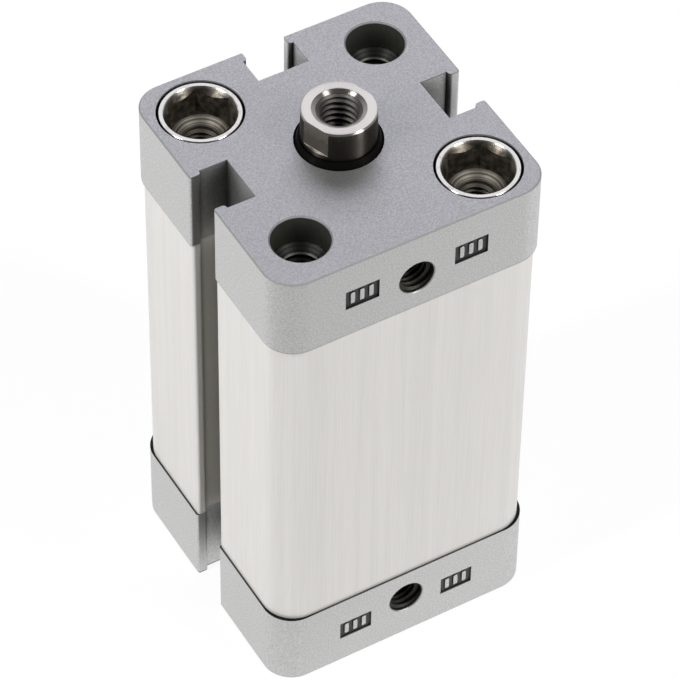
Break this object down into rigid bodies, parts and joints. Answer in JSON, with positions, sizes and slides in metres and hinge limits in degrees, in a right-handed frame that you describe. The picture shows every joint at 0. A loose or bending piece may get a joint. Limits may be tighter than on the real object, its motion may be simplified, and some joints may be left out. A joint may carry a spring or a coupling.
{
  "type": "compact pneumatic cylinder",
  "caption": "Short square pneumatic cylinder with a drawn barrel between two cast covers, sensor slots, threaded ports and a rod with a female thread.",
  "frame": {"origin": "centre of the rear cover's outer face, on the piston rod's axis", "axes": "+Z along the piston rod, out of the front cover; -Y out of the supply ports; +X across"},
  "size_m": [0.04, 0.04, 0.0845],
  "materials": {
    "cover_casting": "fine blasted casting",
    "barrel_anodised": "drawn and anodised, satin",
    "bolt_nickel": "bright nickel plate",
    "rod_steel": "ground and polished",
    "screw_steel": "black oxide",
    "seal_rubber": "matte",
    "bumper_rubber": "matte polyurethane",
    "piston_alloy": "turned",
    "magnet_composite": "bonded ferrite",
    "bush_bronze": "sintered bronze",
    "band_plastic": "filled plastic"
  },
  "bodies": {
    "cylinder_body": {"rear_cover": "cover_casting", "rear_bumper": "bumper_rubber", "rear_cover_seal": "seal_rubber", "barrel": "barrel_anodised", "front_cover": "cover_casting", "front_bumper": "bumper_rubber", "front_cover_seal": "seal_rubber", "rod_bush": "bush_bronze", "rod_seal": "seal_rubber", "rod_wiper": "seal_rubber", "front_tie_bolts": "bolt_nickel", "rear_tie_bolts": "bolt_nickel"},
    "piston_seals": {"guide_band": "band_plastic", "piston_seal_front": "seal_rubber", "piston_seal_rear": "seal_rubber"},
    "piston_and_rod": {"piston_rod": "rod_steel", "piston_front": "piston_alloy", "piston_rear": "piston_alloy", "magnet_ring": "magnet_composite", "piston_neck_seal": "seal_rubber", "piston_screw": "screw_steel"}
  },
  "joints": [
    {"name": "rod_stroke", "type": "slide", "parent": "cylinder_body", "child": "piston_seals", "axis": [0, 0, 1], "range_m": [0, 0.04]},
    {"name": "rod_turn", "type": "hinge", "parent": "piston_seals", "child": "piston_and_rod", "pos_m": [0, 0, 0.0195], "axis": [0, 0, 1], "continuous": true}
  ]
}
